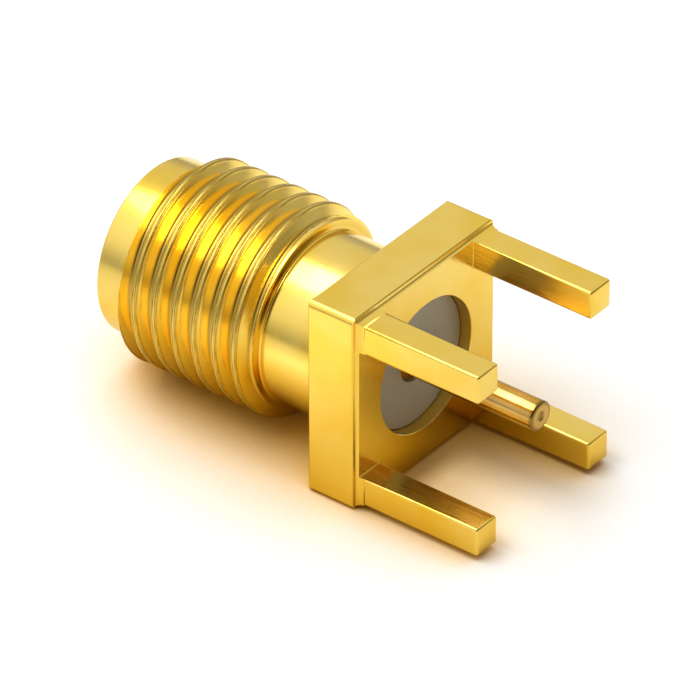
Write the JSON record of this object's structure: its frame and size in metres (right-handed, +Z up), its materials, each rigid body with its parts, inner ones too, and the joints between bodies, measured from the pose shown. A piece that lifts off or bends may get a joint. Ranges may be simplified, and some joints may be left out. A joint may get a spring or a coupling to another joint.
{
  "type": "sma connector",
  "caption": "Straight coaxial board jack with a threaded barrel, a square flange, an insulated centre contact and square solder legs.",
  "frame": {"origin": "on the barrel's axis, in the plane of the seat that lies on the board", "axes": "+X along the barrel towards the mating face, the legs point to -X; +Z is up, as the part lies on one side of its flange"},
  "size_m": [0.0137, 0.0064, 0.0064],
  "materials": {
    "gold_plate": "polished",
    "white_ptfe": "satin",
    "contact_gold": "polished"
  },
  "bodies": {
    "root": {"body": "gold_plate", "insulator": "white_ptfe", "centre_contact": "contact_gold"}
  },
  "joints": []
}
